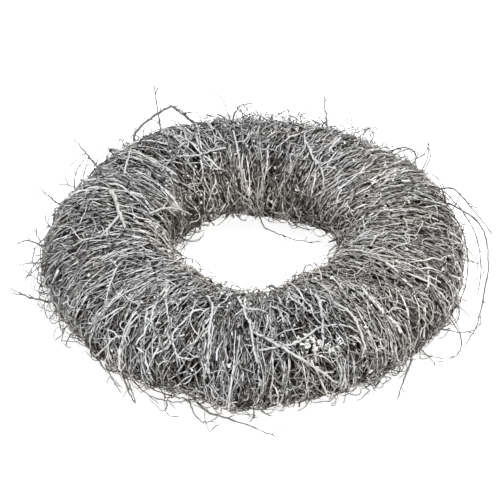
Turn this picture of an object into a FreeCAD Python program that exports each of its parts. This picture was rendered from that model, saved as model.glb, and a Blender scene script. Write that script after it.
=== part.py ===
import FreeCAD, Part
import math
import os

# A wreath of whitewashed brushwood lying flat: a wire ring, coarse sticks packed
# round it, wire loops that bind them, and fine twigs wound round the outside in
# sixteen overlapping bundles with loose ends sticking out.
# Units are millimetres.  Z is up, Z = 0 is the table, the ring is centred on Z.

Vec = FreeCAD.Vector
Z_AXIS = Vec(0, 0, 1)
ORIGIN = Vec(0, 0, 0)

# ---- driving dimensions -------------------------------------------------------
RING_RADIUS = 135.0          # table radius of the tube's centre line
TUBE_HALF_WIDTH = 64.5       # outer twig surface, across
TUBE_HALF_HEIGHT = 42.0      # outer twig surface, up
CENTRE_HEIGHT = 40.0         # tube centre above the table, so the underside is pressed flat

CORE_HALF_WIDTH = 44.0       # packed sticks, a flattened section with round sides
CORE_HALF_HEIGHT = 25.0
CORE_SECTORS = 8
CORE_GAP_DEG = 0.5

HOOP_WIRE_RADIUS = 1.6       # inner and outer hoop of the wire ring
HOOP_OFFSET = 15.0           # each hoop from the tube's centre line
BAR_WIRE_RADIUS = 1.25       # short cross bars welded between the hoops
WIRE_TUNNEL_GAP = 0.15       # room round every wire inside the sticks

BINDING_WIRE_RADIUS = 0.6
BINDING_LOOPS = 16
BINDING_GAP = 0.2            # from the binding wire to the sticks and to the wrapping

WRAP_BUNDLES = 16
WRAP_GAP_DEG = 0.3
STRANDS_PER_BUNDLE = 6
STRAND_DIPS = ((0.7, 4.0), (1.7, 1.4))   # width in degrees and depth of the dip between strands
LUMP_DEPTH = 3.0             # how much narrower the slimmest bundle is wound, half of it upwards
LUMP_STEP = 2.4              # phase step of the lumps from bundle to bundle, radians

ROOT_DEPTH = 9.0             # how deep a loose twig is stuck into its bundle
ROOT_HOLE_GAP = 0.15

SECTION_REACH = 120.0        # half side of the trimming sheets used on sections


# ---- loose twigs --------------------------------------------------------------
# Each station is (ring angle, tube angle, height over the twig surface): the ring
# angle runs anticlockwise from +X, the tube angle from the outside over the top.
LOOSE_TWIGS = {
    "loose_twig_left_thick": (1.7, 0.7, [(153, 66, 4), (147, 45, 13), (144, 33, 36)]),
    "loose_twig_left_upper": (0.9, 0.4, [(166, 30, 3), (163, 21, 13), (162, 21, 26)]),
    "loose_twig_left_middle": (0.9, 0.4, [(180, 8, 3), (178, 8, 14), (180, 8, 25)]),
    "loose_twig_left_lower": (1.1, 0.5, [(200, -8, 3), (195, -5, 19), (192, -2, 32.3)]),
    "loose_twig_back_tall": (1.0, 0.4, [(120, 40, 4), (119, 41, 24), (118, 42, 48)]),
    "loose_twig_back_arch": (1.6, 0.8, [(129, 38, 4), (121, 40, 18), (115, 42, 23), (111, 46, 6)]),
    "loose_twig_back_right": (0.9, 0.4, [(66, 40, 3), (68, 42, 17), (69, 43, 29)]),
    "loose_twig_back_end": (0.9, 0.4, [(97, 38, 3), (94, 33, 14), (90, 20, 22)]),
    "loose_twig_right_hook": (1.0, 0.5, [(45, 35, 3), (40, 34, 12), (36, 32, 11), (35, 30, 3.5)]),
    "loose_twig_right_whip": (1.0, 0.4, [(24, 25, 4), (20, 23, 13), (11, 16, 19), (2, 10, 29)]),
    "loose_twig_right_kink": (
        1.1,
        0.5,
        [(20, 20, 4), (7, 13, 19), (357, 5, 22), (347, -4, 21), (336, -11, 25), (330, -15, 26)],
    ),
    "loose_twig_front_right": (1.1, 0.4, [(317, -12, 3), (311, -24, 12), (306, -22, 24)]),
    "loose_twig_front_long": (
        1.1,
        0.5,
        [(253, -24, 4), (258, -27, 7), (263, -28, 11), (269, -28, 17), (276, -27, 28)],
    ),
    "loose_twig_front_left": (1.0, 0.4, [(233, -8, 3), (236, -22, 7), (240, -22, 18)]),
    "loose_twig_inner_whip": (
        0.8,
        0.4,
        [(86, 207, 3), (80, 212, 8), (63, 212, 12), (44, 200, 12), (25, 190, 9)],
    ),
    "surface_twig_left": (2.3, 1.7, [(163, 84, 3), (168, 91, 4), (175, 97, 4), (185, 104, 4)]),
    "surface_twig_left_arc": (1.7, 1.0, [(168, 119, 3), (163, 132, 4), (156, 147, 4), (144, 168, 4)]),
    "surface_twig_front_long": (
        1.8,
        1.1,
        [(270, 68, 3), (275, 60, 4), (280, 51, 4), (286, 34, 4), (292, 6, 4)],
    ),
    "surface_twig_front_curl": (
        1.5,
        0.9,
        [(269, 50, 3), (277, 57, 4), (284, 64, 4.5), (291, 66, 5), (297, 61, 4.5), (302, 46, 4)],
    ),
    "surface_twig_front_right": (1.7, 1.1, [(296, 98, 3), (294, 82, 4), (291.5, 65, 4.5), (289, 44, 4)]),
}


# ---- sections and shared shapes -----------------------------------------------
def save(shape, node):
    shape.exportStep("parts/" + node + ".step")


def ellipse_face(half_width, half_height):
    # elliptical tube section in the XZ plane
    centre = Vec(RING_RADIUS, 0, CENTRE_HEIGHT)
    side = Vec(RING_RADIUS + half_width, 0, CENTRE_HEIGHT)
    top = Vec(RING_RADIUS, 0, CENTRE_HEIGHT + half_height)
    curve = Part.Ellipse(side, top, centre)
    return Part.Face(Part.Wire(curve.toShape()))


def racetrack_wire(half_width, half_height):
    # flattened section: straight top and bottom, half-round sides, in the XZ plane
    flat = half_width - half_height
    x_in = RING_RADIUS - flat
    x_out = RING_RADIUS + flat
    z_low = CENTRE_HEIGHT - half_height
    z_high = CENTRE_HEIGHT + half_height
    top = Part.LineSegment(Vec(x_out, 0, z_high), Vec(x_in, 0, z_high))
    inner = Part.Arc(
        Vec(x_in, 0, z_high), Vec(x_in - half_height, 0, CENTRE_HEIGHT), Vec(x_in, 0, z_low)
    )
    bottom = Part.LineSegment(Vec(x_in, 0, z_low), Vec(x_out, 0, z_low))
    outer = Part.Arc(
        Vec(x_out, 0, z_low), Vec(x_out + half_height, 0, CENTRE_HEIGHT), Vec(x_out, 0, z_high)
    )
    return Part.Wire([c.toShape() for c in (top, inner, bottom, outer)])


def trim_sheet(z_low):
    # a large rectangle in the XZ plane that starts at z_low
    return Part.Face(
        Part.makePolygon(
            [
                Vec(RING_RADIUS - SECTION_REACH, 0, z_low),
                Vec(RING_RADIUS + SECTION_REACH, 0, z_low),
                Vec(RING_RADIUS + SECTION_REACH, 0, z_low + 2 * SECTION_REACH),
                Vec(RING_RADIUS - SECTION_REACH, 0, z_low + 2 * SECTION_REACH),
                Vec(RING_RADIUS - SECTION_REACH, 0, z_low),
            ]
        )
    )


def sector(face, start_deg, sweep_deg):
    # turn a section into a sector of the ring
    placed = face.copy()
    placed.rotate(ORIGIN, Z_AXIS, start_deg)
    return placed.revolve(ORIGIN, Z_AXIS, sweep_deg)


def one_solid(shape):
    solids = shape.removeSplitter().Solids
    if len(solids) != 1:
        raise ValueError("expected one solid, got %d" % len(solids))
    return solids[0]


def hoop(radius, wire_radius):
    ring = Part.makeTorus(radius, wire_radius)
    ring.translate(Vec(0, 0, CENTRE_HEIGHT))
    return ring


def cross_bar(wire_radius, angle_deg):
    bar = Part.makeCylinder(
        wire_radius,
        2 * HOOP_OFFSET,
        Vec(RING_RADIUS - HOOP_OFFSET, 0, CENTRE_HEIGHT),
        Vec(1, 0, 0),
    )
    bar.rotate(ORIGIN, Z_AXIS, angle_deg)
    return bar


# ---- wire ring ----------------------------------------------------------------
def build_hoops():
    save(hoop(RING_RADIUS - HOOP_OFFSET, HOOP_WIRE_RADIUS), "hoop_inner")
    save(hoop(RING_RADIUS + HOOP_OFFSET, HOOP_WIRE_RADIUS), "hoop_outer")


def core_angle(index):
    return index * 360.0 / CORE_SECTORS


def build_cross_bars():
    # each bar ends in a saddle that sits on the two hoops
    inner = hoop(RING_RADIUS - HOOP_OFFSET, HOOP_WIRE_RADIUS)
    outer = hoop(RING_RADIUS + HOOP_OFFSET, HOOP_WIRE_RADIUS)
    trimmed = cross_bar(BAR_WIRE_RADIUS, 0).cut(inner).cut(outer)
    bar = max(trimmed.Solids, key=lambda solid: solid.Volume)
    for index in range(CORE_SECTORS):
        placed = bar.copy()
        placed.rotate(ORIGIN, Z_AXIS, core_angle(index))
        save(placed, "cross_bar_%d" % (index + 1))


# ---- packed sticks and their binding wire ---------------------------------------
def build_core_bundles():
    section = Part.Face(racetrack_wire(CORE_HALF_WIDTH, CORE_HALF_HEIGHT))
    span = 360.0 / CORE_SECTORS
    bundle = sector(section, CORE_GAP_DEG / 2 - span / 2, span - CORE_GAP_DEG)
    for side in (-1, 1):
        radius = RING_RADIUS + side * HOOP_OFFSET
        bundle = bundle.cut(hoop(radius, HOOP_WIRE_RADIUS + WIRE_TUNNEL_GAP))
    bundle = one_solid(bundle.cut(cross_bar(BAR_WIRE_RADIUS + WIRE_TUNNEL_GAP, 0)))
    for index in range(CORE_SECTORS):
        placed = bundle.copy()
        placed.rotate(ORIGIN, Z_AXIS, core_angle(index))
        save(placed, "core_bundle_%d" % (index + 1))


def build_binding_wire():
    # closed loops of thin wire, one under the middle of each outer bundle
    offset = BINDING_GAP + BINDING_WIRE_RADIUS
    path = racetrack_wire(CORE_HALF_WIDTH + offset, CORE_HALF_HEIGHT + offset)
    start_radius = RING_RADIUS + CORE_HALF_WIDTH - CORE_HALF_HEIGHT
    start = Vec(start_radius, 0, CENTRE_HEIGHT + CORE_HALF_HEIGHT + offset)
    circle = Part.Wire(Part.makeCircle(BINDING_WIRE_RADIUS, start, Vec(-1, 0, 0)))
    loop = path.makePipeShell([circle], True, False)
    loops = []
    for index in range(BINDING_LOOPS):
        placed = loop.copy()
        placed.rotate(ORIGIN, Z_AXIS, index * 360.0 / BINDING_LOOPS)
        loops.append(placed)
    save(Part.makeCompound(loops), "binding_wire_loops")


# ---- loose twigs ----------------------------------------------------------------
def wreath_point(ring_deg, tube_deg, height):
    ring = math.radians(ring_deg)
    tube = math.radians(tube_deg)
    across = TUBE_HALF_WIDTH * math.cos(tube)
    up = TUBE_HALF_HEIGHT * math.sin(tube)
    normal = Vec(math.cos(tube) / TUBE_HALF_WIDTH, 0, math.sin(tube) / TUBE_HALF_HEIGHT)
    normal.normalize()
    radius = RING_RADIUS + across + normal.x * height
    z = CENTRE_HEIGHT + up + normal.z * height
    return Vec(radius * math.cos(ring), radius * math.sin(ring), z)


def loose_twig(root_radius, tip_radius, stations):
    # a straight root inside the bundle, then a tapering curve through the stations
    points = [wreath_point(*station) for station in stations]
    ring_deg, tube_deg, height = stations[0]
    root = wreath_point(ring_deg, tube_deg, -ROOT_DEPTH)
    outward = points[0] - root
    root_part = Part.makeCylinder(root_radius, outward.Length, root, outward)
    outward.normalize()
    curve = Part.BSplineCurve()
    last = points[-1] - points[-2]
    last.normalize()
    reach = (points[1] - points[0]).Length
    curve.interpolate(
        Points=points, InitialTangent=outward * reach, FinalTangent=last * reach
    )
    path = Part.Wire(curve.toShape())
    first_ring = Part.Wire(Part.makeCircle(root_radius, points[0], outward))
    last_ring = Part.Wire(Part.makeCircle(tip_radius, points[-1], last))
    whip = path.makePipeShell([first_ring, last_ring], True, False)
    hole = Part.makeCylinder(
        root_radius + ROOT_HOLE_GAP,
        ROOT_DEPTH + height + ROOT_HOLE_GAP,
        root - outward * ROOT_HOLE_GAP,
        outward,
    )
    return one_solid(root_part.fuse(whip)), hole


def build_loose_twigs():
    holes = []
    for node, (root_radius, tip_radius, stations) in LOOSE_TWIGS.items():
        twig, hole = loose_twig(root_radius, tip_radius, stations)
        save(twig, node)
        holes.append(hole)
    return holes


# ---- outer bundles --------------------------------------------------------------
def wrap_bundle(index):
    slimming = LUMP_DEPTH * (1 + math.sin(LUMP_STEP * index)) / 2
    half_width = TUBE_HALF_WIDTH - slimming
    half_height = TUBE_HALF_HEIGHT - slimming / 2
    clearance = 2 * (BINDING_GAP + BINDING_WIRE_RADIUS)
    hollow = Part.Face(racetrack_wire(CORE_HALF_WIDTH + clearance, CORE_HALF_HEIGHT + clearance))
    full = ellipse_face(half_width, half_height)
    section = full.common(trim_sheet(0)).cut(hollow)
    span = 360.0 / WRAP_BUNDLES
    start = (index - 0.5) * span + WRAP_GAP_DEG / 2
    bundle = sector(section, start, span - WRAP_GAP_DEG)
    pitch = (span - WRAP_GAP_DEG) / STRANDS_PER_BUNDLE
    dips = []
    for width_deg, depth in STRAND_DIPS:
        kept = ellipse_face(half_width - depth, half_height - depth)
        dip_section = trim_sheet(-SECTION_REACH).cut(kept)
        for strand in range(STRANDS_PER_BUNDLE + 1):
            middle = start + strand * pitch
            dips.append(sector(dip_section, middle - width_deg / 2, width_deg))
    return one_solid(bundle.cut(dips))


def build_wrap_bundles(holes):
    for index in range(WRAP_BUNDLES):
        bundle = wrap_bundle(index)
        for hole in holes:
            if bundle.BoundBox.intersect(hole.BoundBox):
                bundle = bundle.cut(hole)
        save(one_solid(bundle), "wrap_bundle_%02d" % (index + 1))


os.makedirs("parts", exist_ok=True)
build_hoops()
build_cross_bars()
build_core_bundles()
build_binding_wire()
build_wrap_bundles(build_loose_twigs())
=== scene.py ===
import math
import bpy
import numpy as np
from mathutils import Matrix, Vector


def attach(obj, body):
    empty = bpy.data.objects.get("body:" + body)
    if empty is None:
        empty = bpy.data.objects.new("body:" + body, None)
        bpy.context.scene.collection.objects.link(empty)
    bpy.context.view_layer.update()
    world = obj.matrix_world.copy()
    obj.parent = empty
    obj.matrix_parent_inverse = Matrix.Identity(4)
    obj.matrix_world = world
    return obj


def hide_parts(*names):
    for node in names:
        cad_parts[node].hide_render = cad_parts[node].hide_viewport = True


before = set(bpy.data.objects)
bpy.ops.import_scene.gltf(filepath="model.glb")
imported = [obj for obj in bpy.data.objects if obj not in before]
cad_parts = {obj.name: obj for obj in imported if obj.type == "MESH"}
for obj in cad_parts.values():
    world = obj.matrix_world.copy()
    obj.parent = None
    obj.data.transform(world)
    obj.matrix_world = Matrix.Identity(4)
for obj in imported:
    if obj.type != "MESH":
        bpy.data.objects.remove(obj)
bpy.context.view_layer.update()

# A wreath of whitewashed brushwood lying flat on a pale table.  The CAD model gives the
# ring, its wires and the envelopes of the twig bundles; every twig is built here.
# Lists of places, names that end in mm and the functions that lay twigs use millimetres;
# points, the camera and the lamps are in metres.  The ring angle runs anticlockwise from +X,
# the tube angle from the outside of the tube over its top.

# every piece draws from SEED and a number of its own: outer bundles from 0 on, sticks from
# CORE_SEED on, single twigs from SINGLE_SEED on
SEED = 20
CORE_SEED = 100
SINGLE_SEED = 200
MM = 0.001

# ---- shape of the wreath, the same as in the CAD model ---------------------------
RING_RADIUS_MM = 135.0
TUBE_HALF_WIDTH_MM = 64.5
TUBE_HALF_HEIGHT_MM = 42.0
CENTRE_HEIGHT_MM = 40.0
CORE_HALF_WIDTH_MM = 44.0
CORE_HALF_HEIGHT_MM = 25.0
WRAP_BUNDLES = 16
CORE_SECTORS = 8
# two layers of sticks, this deep inside the core's section
CORE_INSETS_MM = (2.5, 7.0)
TABLE_CLEARANCE_MM = 0.4

# ---- single twigs ----------------------------------------------------------------
# root radius, tip radius, stations (ring deg, tube deg, height mm)
SINGLE_TWIGS = {
    "loose_twig_left_thick": (1.3, 0.5, [(153, 66, -2), (148, 45, 8), (145, 32, 20), (144, 28, 36)]),
    "loose_twig_left_upper": (0.9, 0.5, [(166, 30, -3), (163, 21, 13), (162, 21, 26)]),
    "loose_twig_left_middle": (0.9, 0.5, [(180, 8, -3), (178, 8, 14), (180, 8, 25)]),
    "loose_twig_left_lower": (1.1, 0.4, [(200, -8, -3), (195, -5, 19), (192, -2, 32)]),
    "loose_twig_back_tall": (0.9, 0.5, [(120, 40, -4), (119, 41, 24), (118, 42, 48)]),
    "loose_twig_back_arch": (
        1.4,
        0.9,
        [(130, 37, -4), (128, 38, 8.6), (121, 40, 17.7), (115.4, 42, 22.4)]
        + [(114.7, 42, 22.3), (112, 43, 12), (109, 51, -1)],
    ),
    "loose_twig_back_right": (0.9, 0.5, [(66, 40, -3), (68, 42, 17), (69, 43, 29)]),
    "loose_twig_back_end": (0.9, 0.5, [(97, 38, -3), (94, 33, 14), (90, 20, 22)]),
    "loose_twig_right_hook": (1.0, 0.5, [(45, 35, -3), (40, 34, 12), (36, 32, 11), (35, 30, 2)]),
    "loose_twig_right_whip": (0.9, 0.5, [(24, 25, -4), (20, 23, 13), (11, 16, 19), (2, 10, 29)]),
    "loose_twig_right_kink": (
        0.9,
        0.55,
        [(20, 20, -4), (7, 13, 19), (357, 5, 22), (347, -4, 21), (336, -11, 25), (330, -15, 26)],
    ),
    "loose_twig_front_right": (0.9, 0.5, [(317, -12, -3), (311, -24, 12), (306, -22, 24)]),
    "loose_twig_front_long": (
        1.1,
        0.4,
        [(253, -24, -4), (258, -27, 7), (263, -28, 11), (269, -28, 17), (276, -27, 28)],
    ),
    "loose_twig_front_left": (0.9, 0.5, [(233, -8, -3), (236, -22, 7), (240, -22, 18)]),
    "loose_twig_inner_whip": (
        0.7,
        0.45,
        [(86, 207, -3), (80, 212, 8), (63, 212, 12), (44, 200, 12), (25, 190, 9)],
    ),
    "surface_twig_left": (2.4, 1.5, [(163, 84, 0), (169, 92, 3), (178, 98, 3), (188, 105, -1)]),
    "surface_twig_left_arc": (1.3, 0.8, [(171, 124, -1), (163, 133, 2), (154, 146, 2), (143, 164, -1)]),
    "surface_twig_front_long": (
        1.5,
        0.9,
        [(270, 68, -2), (275, 57, 2), (280, 45, 3), (286, 27, 3), (292, 2, -1)],
    ),
    "surface_twig_front_curl": (
        1.1,
        0.7,
        [(271, 51, -3), (277, 52, 1), (282, 53, 2), (288, 61, 2)]
        + [(292.5, 63, 2), (298, 58, 2), (302, 48, -2)],
    ),
    "surface_twig_front_right": (1.7, 1.0, [(296, 98, 0), (294, 82, 3), (291.5, 65, 4), (289, 44, 0)]),
}

# side branches of the single twigs: root radius, stations
FORKS = {
    "surface_twig_left": [(1.4, [(180, 98, 2), (185, 94, 3), (189, 88, 2), (192, 81, -1)])],
    "loose_twig_back_arch": [(0.8, [(114.7, 42, 22), (112.5, 42, 17), (110, 47, 5), (107, 50, -2)])],
}

# ---- places on the winding -------------------------------------------------------
# lumps and hollows: ring deg, tube deg, spread of each in deg, height mm
LUMPS = (
    (116, 41, 11, 22, 2.5),
    (136, 38, 12, 22, 1.5),
    (65, 41, 12, 22, 1.0),
    (29, 30, 10, 22, 4.0),
    (150, 38, 9, 20, -3.5),
    (43, 36, 7, 18, -3.0),
    (75, 41, 10, 20, -1.0),
    (160, 36, 12, 24, -1.0),
    (191, -2, 14, 26, 0.3),
    (216, -22, 14, 28, -3.2),
    (250, -28, 7, 26, -4.0),
    (265, -36, 9, 24, 4.0),
    (301, -30, 10, 24, -2.2),
    (321, -12, 12, 24, -1.0),
    (356, -2, 12, 26, 0.8),
    (168, 192, 24, 36, -9.0),
    (15, 190, 28, 36, -11.0),
    (106, 208, 20, 30, -8.0),
    (38, 212, 16, 30, -6.0),
    (255, 123, 20, 28, -4.5),
    (229, 150, 14, 28, 3.5),
    (307, 148, 12, 28, 3.5),
)
# thin places where the dark inside shows, in the same form with the share of twigs left out
THIN_PLACES = (
    (287, 68, 6, 14, 0.98),
    (294, 66, 4, 10, 0.8),
    (286, 42, 5, 10, 0.85),
    (288, 28, 5, 9, 0.7),
    (262, 80, 4, 12, 0.98),
    (268, 74, 3, 12, 0.9),
    (249, 72, 4, 14, 0.7),
    (277, 25, 6, 12, 0.5),
    (234, 60, 6, 16, 0.4),
    (306, 76, 5, 14, 0.5),
    (70, 110, 14, 26, 0.5),
    (109, 115, 8, 20, 0.8),
    (129, 120, 7, 20, 0.7),
    (90, 118, 8, 20, 0.6),
)
# places with painted shade, as less whitewash, or painted light, as a heavier coat where the last value
# is below zero
PAINTED_SHADE_AND_LIGHT = (
    (210, 52, 14, 30, 0.13),
    (184, 50, 12, 26, 0.09),
    (110, 105, 12, 20, 0.11),
    (136, 82, 10, 22, 0.06),
    (48, 88, 10, 20, 0.07),
    (238, -12, 9, 22, -0.2),
    (306, 108, 12, 30, -0.14),
    (262, 112, 16, 26, -0.12),
    (118, 128, 40, 32, 0.14),
    (60, 150, 25, 25, 0.1),
    (224, -28, 6, 18, 0.6),
    (262, 76, 5, 12, 0.5),
    (287, 70, 6, 12, 0.5),
)
# knots of curly ends: ring deg, tube deg, spread mm, count, rise mm
TANGLES = (
    (96, 42, 22, 60, 6.0),
    (76, 42, 22, 60, 6.0),
    (56, 40, 20, 60, 6.0),
    (38, 34, 14, 40, 7.0),
    (130, 40, 20, 40, 5.0),
    (190, 0, 22, 45, 6.0),
    (208, -14, 18, 40, 6.0),
    (228, -28, 18, 36, 4.0),
    (245, -30, 16, 24, 4.0),
    (265, -36, 10, 45, 3.0),
    (304, -28, 18, 45, 6.0),
    (335, -12, 18, 30, 5.0),
    (208, 146, 16, 35, 4.0),
    (222, 148, 18, 45, 4.0),
    (244, 142, 18, 50, 4.5),
    (300, 142, 16, 40, 4.5),
    (317, 146, 14, 30, 4.0),
    (146, 212, 14, 40, 6.0),
)
# twigs that stand out on the winding: root radius mm, stations (ring deg, tube deg, height mm)
MARKED_TWIGS = (
    (1.0, [(103, 105, -1), (112, 108, 2), (119, 109, 2), (129, 102, 2), (139, 106, -1)]),
    (1.3, [(68, 89, -1), (60, 108, 1), (53, 115, 2), (47, 124, 2), (40, 138, -1)]),
    (0.9, [(340, 109, -1), (346, 106, 2), (349, 96, 2), (352, 80, -1)]),
    (1.1, [(334, 148, -2), (336, 134, 1), (333, 111, 2), (334, 89, 1), (340, 61, -2)]),
    (0.9, [(286, 104, -1), (288, 90, 2), (289, 82, 2), (291, 79, -1)]),
    (1.4, [(300, 86, -2), (302, 69, 1), (302, 57, 1), (301, 38, 1), (301, 21, -2)]),
    (1.0, [(209, 87, -1), (217, 66, 1), (221, 51, -1)]),
    (1.3, [(231, 101, -2), (234, 85, 1), (237, 63, 2), (239, 55, -1)]),
    (1.0, [(232, 98, -1), (237, 83, 1), (242, 68, 2), (243, 63, 0)]),
    (1.1, [(246, 62, -2), (246, 53, 1), (248, 42, 2), (250, 35, 2), (253, 36, 0)]),
    (1.3, [(248, 112, -2), (254, 92, 1), (256, 70, 2), (257, 53, 2), (258, 31, -1)]),
    (1.2, [(266, 97, -2), (267, 85, 1), (269, 71, 2), (270, 50, 2), (271, 38, -1)]),
    (0.9, [(224, -13, 0), (229, 17, 3), (231, 31, 3), (233, 35, 2), (234, 30, -1)]),
    (1.1, [(150, 82, -1), (142, 73, 2), (134, 55, -1)]),
    (0.8, [(118, 87, -1), (122, 91, 2), (126, 98, -1)]),
    (0.9, [(0, 86, -1), (357, 84, 2), (354, 83, 0)]),
    (1.1, [(98, 81, -1), (98, 115, 1), (98, 134, -1)]),
)
# thin ends that have sprung loose at the edge: root radius mm, ring deg and tube deg of the root,
# sweep and drop in deg from root to tip, rise of the tip mm, bow of the middle mm
SPRUNG_ENDS = (
    (0.68, 30, 25, -45, -30, 15, 5),
    (0.68, 20, 20, -40, -30, 2, 2),
    (0.62, 330, -15, 8, 10, 25, 12),
    (0.56, 335, -12, -15, -8, 2, 25),
    (0.56, 320, -15, 0, -2, 18, 3),
    (0.56, 338, 0, 0, -10, 16, -2),
    (0.62, 160, 40, -15, -15, 12, 2),
    (0.56, 160, 50, -15, -20, 10, -2),
    (0.62, 185, 20, -12, -10, 12, 0),
    (0.62, 178, 20, 8, -18, 8, 4),
    (0.62, 190, 20, -5, -20, 22, -4),
    (0.62, 185, 15, 5, -16, 16, 0),
    (0.56, 188, 20, 2, -20, 14, -2),
    (0.62, 253, -20, 8, -10, 10, 12),
    (0.62, 234, -15, 6, -10, 18, -3),
    (0.62, 236, -25, 20, 10, 0, 8),
    (0.62, 240, -20, 15, 0, 0, 2),
    (0.56, 227, -20, 8, -5, 14, 0),
    (0.62, 270, -25, 0, -6, 10, 2),
)
SPRUNG_ROOT_DEPTH_MM = 1.0
SPRUNG_STATIONS = 5
# splashes of whitewash clots: ring deg, tube deg, spread mm, count
CLOTS = (
    (286, 53, 5.0, 34),
    (291, 43, 5.0, 26),
    (256, 128, 4.0, 10),
    (180, 150, 7.0, 14),
    (50, 40, 9.0, 10),
)

# ---- winding of one bundle -------------------------------------------------------
# layers from the inside out: locks, twigs in a lock, lowest and highest height mm, wander,
# sides of a twig
WOUND_LAYERS = (
    (15, 11, -19.5, -12.0, 0.8, 4),
    (22, 9, -12.0, -6.5, 1.0, 4),
    (32, 8, -7.0, -1.6, 1.2, 5),
)
CROSSING_TWIGS = 210
# curling ends: count, range of tube deg, range of length mm, rise mm, swing
FUZZ_LAYERS = (
    (185, (-180, 180), (8, 32), 3.8, 1.0),
    (36, (170, 230), (8, 30), 4.4, 1.0),
    (24, (-60, 110), (18, 56), 10.0, 0.7),
)
CRUMBS = 60
# layers with their top above this height have fewer twigs in the thin places
THIN_PLACES_DOWN_TO_MM = -8
# wound twigs stay between these heights, apart from their lifted ends
WINDING_LOW_MM = -20
WINDING_HIGH_MM = 2
# thickness of a tip as a share of its root
WOUND_TIP = 0.55
FUZZ_TIP = 0.7
MARKED_TIP = 0.6
SPRUNG_TIP = 0.7
# tone of the twigs that are placed one by one, from 0 (dark) to 1 (pale)
MARKED_TONE = 0.55
SPRUNG_TONE = 0.45
SURFACE_TONE = 0.5
LOOSE_TONE = 0.4

# ---- looks -----------------------------------------------------------------------
PAINT_COLOUR = (0.79, 0.80, 0.808, 1.0)
PAINT_SHADE = (0.257, 0.262, 0.265, 1.0)
BARK_DARK = (0.009, 0.007, 0.006, 1.0)
BARK_LIGHT = (0.078, 0.064, 0.052, 1.0)
STRAY_DARK = (0.085, 0.085, 0.086, 1.0)
STRAY_LIGHT = (0.29, 0.29, 0.292, 1.0)
# whitewash of a twig at the surface, and the depth over which it drops by one; the drop is partly
# unpainted inner twigs, partly painted shade in the hollows
SURFACE_WHITE = 0.97
WHITE_DEPTH_MM = 6.9
# painted shade in the opening, as whitewash taken off there, most of it this many radians below the
# innermost line, and painted shade underneath in the same way
OPENING_PAINTED_SHADE = 0.22
OPENING_TILT = 0.25
UNDERSIDE_PAINTED_SHADE = 0.40
# ends above FROM lose one over each FADE of height, up to MOST: below zero they are grey
STRAY_FROM_MM = 2.5
STRAY_FADE_MM = 3.0
STRAY_LOSS_MOST = 1.5
# whitewash at the foot of a twig that lies on the winding, and of one that stands clear of it;
# it drops by one over each SINGLE_FADE of height, down to SINGLE_WHITE_LEAST
SNUG_WHITE = 1.9
STRAY_WHITE = 0.7
SINGLE_FADE_MM = 3.2
SINGLE_WHITE_LEAST = -0.3
CRUMB_WHITE = 1.3
# brown stain: full below LOW and within INNER of the axis, none above TOP and beyond OUTER,
# and growing towards RIGHT on the +X side
STAIN = (1.0, 0.95, 0.88, 1.0)
STAIN_TOP_MM = 55.0
STAIN_LOW_MM = 15.0
STAIN_OUTER_MM = 112.0
STAIN_INNER_MM = 84.0
STAIN_RIGHT_MM = 170.0
STAIN_RIGHT_MOST = 0.7
STAIN_UNEVEN = 2.2
# scale, in spots to the metre, and detail of the noise on twigs, wires and table
PATCHES = (300.0, 3.0)
BROAD = (30.0, 2.0)
FINE = (1600.0, 4.0)
SPANGLE = (260.0, 3.0)
SCRATCHES = (1500.0, 2.0)
TABLE_GRAIN = (900.0, 2.0)
# how far each thing raises the coat of whitewash, from a base and with less on the core; facing outward
# and facing up make each twig's outer and upper side paler, partly a coat sprayed from outside and
# partly a painted highlight with painted shade on the flanks
COVER_BASE = -0.42
COVER_BY_WHITE = 0.95
COVER_AND_HIGHLIGHT_BY_FACING = 0.62
COVER_AND_HIGHLIGHT_BY_UP = 0.14
COVER_BY_PATCHES = 2.6
COVER_BY_TONE = 0.95
COVER_BY_BROAD = 0.6
CORE_COVER = -0.35
# how fast bark turns from brown to grey as whitewash drops below zero
GREY_BY_WHITE = -3.3
TWIG_ROUGHNESS = 0.68
TWIG_ROUGHNESS_SPREAD = 0.25
TWIG_SPECULAR = 0.25
WIRE_ROUGHNESS_SPREAD = 0.3
ZINC_LIGHT = (0.55, 0.56, 0.57, 1)
ZINC_DARK = (0.38, 0.39, 0.41, 1)
OXIDE_LIGHT = (0.16, 0.15, 0.14, 1)
OXIDE_DARK = (0.07, 0.065, 0.06, 1)
TABLE_LIGHT = (0.82, 0.82, 0.82, 1)
TABLE_DARK = (0.78, 0.78, 0.78, 1)


# ---- wreath coordinates ----------------------------------------------------------
# arc length round the tube's ellipse against its angle, so that twigs can be laid by length
_angles = np.linspace(0.0, 2 * math.pi, 721)
_speed = np.hypot(TUBE_HALF_WIDTH_MM * np.sin(_angles), TUBE_HALF_HEIGHT_MM * np.cos(_angles))
_arc = np.concatenate([[0.0], np.cumsum((_speed[1:] + _speed[:-1]) / 2 * np.diff(_angles))])
TUBE_GIRTH_MM = _arc[-1]


def tube_angle(arc_mm):
    """Tube angle in radians at a distance round the tube's girth."""
    turns = np.floor(arc_mm / TUBE_GIRTH_MM)
    return np.interp(arc_mm - turns * TUBE_GIRTH_MM, _arc, _angles) + turns * 2 * math.pi


def girth_at(tube_deg):
    """Distance round the girth at a tube angle in degrees."""
    turns = math.floor(tube_deg / 360.0)
    return float(np.interp(math.radians(tube_deg - 360 * turns), _angles, _arc)) + turns * TUBE_GIRTH_MM


def bell(ring, tube, places):
    """Sum of soft bumps on the winding at ring and tube angles in radians."""
    total = np.zeros(np.broadcast(ring, tube).shape)
    for ring_deg, tube_deg, ring_width, tube_width, size in places:
        d_ring = np.angle(np.exp(1j * (ring - math.radians(ring_deg)))) / math.radians(ring_width)
        d_tube = np.angle(np.exp(1j * (tube - math.radians(tube_deg)))) / math.radians(tube_width)
        total = total + size * np.exp(-0.5 * (d_ring**2 + d_tube**2))
    return total


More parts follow.
